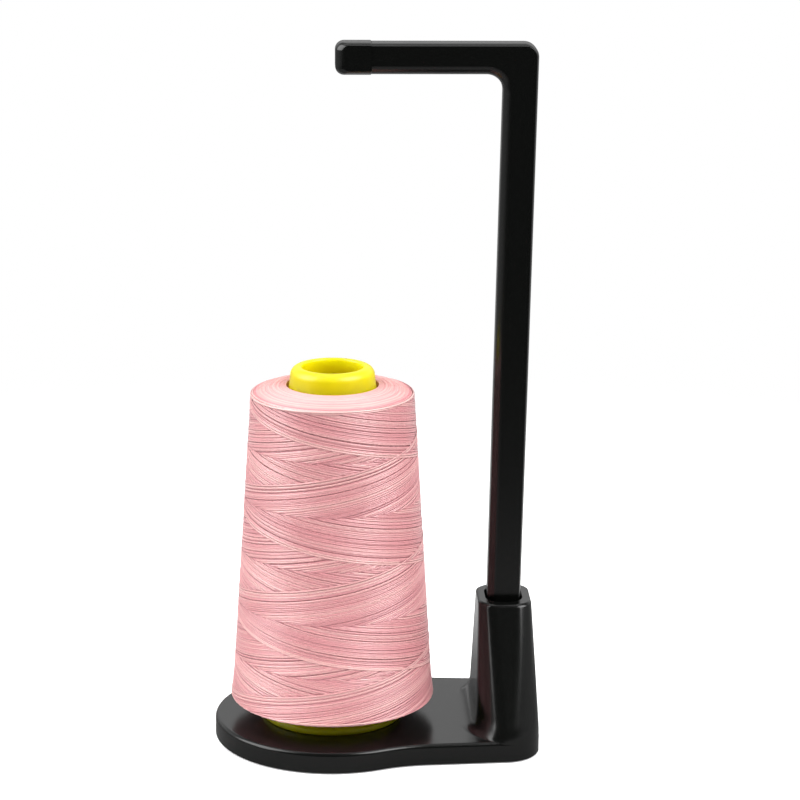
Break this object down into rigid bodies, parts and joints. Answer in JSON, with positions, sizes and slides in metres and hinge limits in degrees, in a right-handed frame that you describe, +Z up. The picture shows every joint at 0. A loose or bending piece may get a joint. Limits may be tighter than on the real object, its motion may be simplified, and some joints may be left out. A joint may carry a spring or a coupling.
{
  "type": "thread spool stand",
  "caption": "Free-standing stand for a cone of sewing thread, with a round base, a socket tower and an L-shaped arm that carries the thread guide over the cone.",
  "frame": {"origin": "middle of the footprint's box, on the table", "axes": "+Z up, +X from the cone towards the tower, +Y towards the back, away from the picture's side"},
  "size_m": [0.1284, 0.094, 0.2783],
  "materials": {
    "black_plastic": "moulded, glossy black ABS",
    "cover_plastic": "matt black ABS sheet moulding",
    "yellow_plastic": "semi-gloss yellow polypropylene",
    "white_plastic": "plain moulded polypropylene",
    "pink_thread": "satin pink polyester sewing thread",
    "steel": "plain zinc-plated steel",
    "rubber": "soft black rubber"
  },
  "bodies": {
    "stand": {"base_shell": "black_plastic", "bottom_cover": "cover_plastic", "ballast_plate": "steel", "spool_pin": "steel", "pin_screw": "steel", "pin_washer": "steel", "cover_screw_1": "steel", "cover_screw_2": "steel", "cover_screw_3": "steel", "cover_screw_4": "steel", "cover_screw_5": "steel", "rubber_foot_1": "rubber", "rubber_foot_2": "rubber", "rubber_foot_3": "rubber", "rubber_foot_4": "rubber"},
    "adapter": {"cone_adapter": "white_plastic"},
    "cone": {"thread_cone": "yellow_plastic", "thread_core": "pink_thread", "thread_winding": "pink_thread"},
    "arm": {"guide_arm": "black_plastic", "guide_cap": "black_plastic"}
  },
  "joints": [
    {"name": "arm_lift", "type": "slide", "parent": "stand", "child": "arm", "axis": [0.0162, 0, 0.9999], "range_m": [0, 0.05]},
    {"name": "cone_spin", "type": "hinge", "parent": "stand", "child": "adapter", "pos_m": [-0.0172, 0, 0.04], "axis": [0, 0, 1], "continuous": true},
    {"name": "cone_lift", "type": "slide", "parent": "adapter", "child": "cone", "axis": [0, 0, 1], "range_m": [0, 0.11]}
  ]
}
